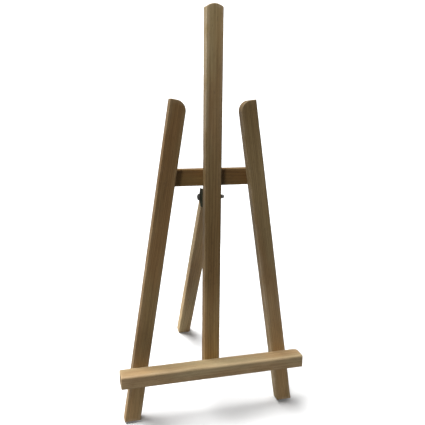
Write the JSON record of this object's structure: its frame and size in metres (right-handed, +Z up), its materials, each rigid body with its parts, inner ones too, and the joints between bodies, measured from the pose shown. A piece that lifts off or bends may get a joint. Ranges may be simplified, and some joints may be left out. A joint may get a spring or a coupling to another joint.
{
  "type": "plate display stand",
  "caption": "Wooden tabletop easel: a tall mast between splayed legs, a crossbar and a ledge, propped by a hinged rear leg.",
  "frame": {"origin": "on the table, under the middle of the stand's outer box", "axes": "+X to the viewer's right along the ledge, +Y to the back, +Z up"},
  "size_m": [0.2344, 0.185, 0.4847],
  "materials": {
    "frame_wood": "thin satin lacquer on light hardwood, long straight grain",
    "ledge_wood": "thin satin lacquer on light hardwood, long straight grain",
    "rear_leg_wood": "thin satin lacquer on light hardwood, long straight grain",
    "bracket_enamel": "dark green-black enamel, semi-gloss, worn on the edges",
    "bolt_steel": "blackened steel, bare at the thread end",
    "screw_steel": "bright zinc"
  },
  "bodies": {
    "front_frame": {"mast": "frame_wood", "left_leg": "frame_wood", "right_leg": "frame_wood", "crossbar": "frame_wood", "ledge": "ledge_wood", "hinge_bracket": "bracket_enamel", "pivot_bolt": "bolt_steel", "pivot_washer": "bolt_steel", "pivot_nut": "bolt_steel", "crossbar_screw_left_lower": "screw_steel", "crossbar_screw_left_upper": "screw_steel", "crossbar_screw_centre_lower": "screw_steel", "crossbar_screw_centre_upper": "screw_steel", "crossbar_screw_right_lower": "screw_steel", "crossbar_screw_right_upper": "screw_steel", "ledge_screw_left": "screw_steel", "ledge_screw_centre": "screw_steel", "ledge_screw_right": "screw_steel", "bracket_screw_lower": "screw_steel", "bracket_screw_upper": "screw_steel"},
    "prop": {"rear_leg": "rear_leg_wood"}
  },
  "joints": [
    {"name": "rear_leg_hinge", "type": "hinge", "parent": "front_frame", "child": "prop", "pos_m": [0, 0.00773, 0.26659], "axis": [-1, 0, 0], "range_deg": [0, 31]}
  ]
}
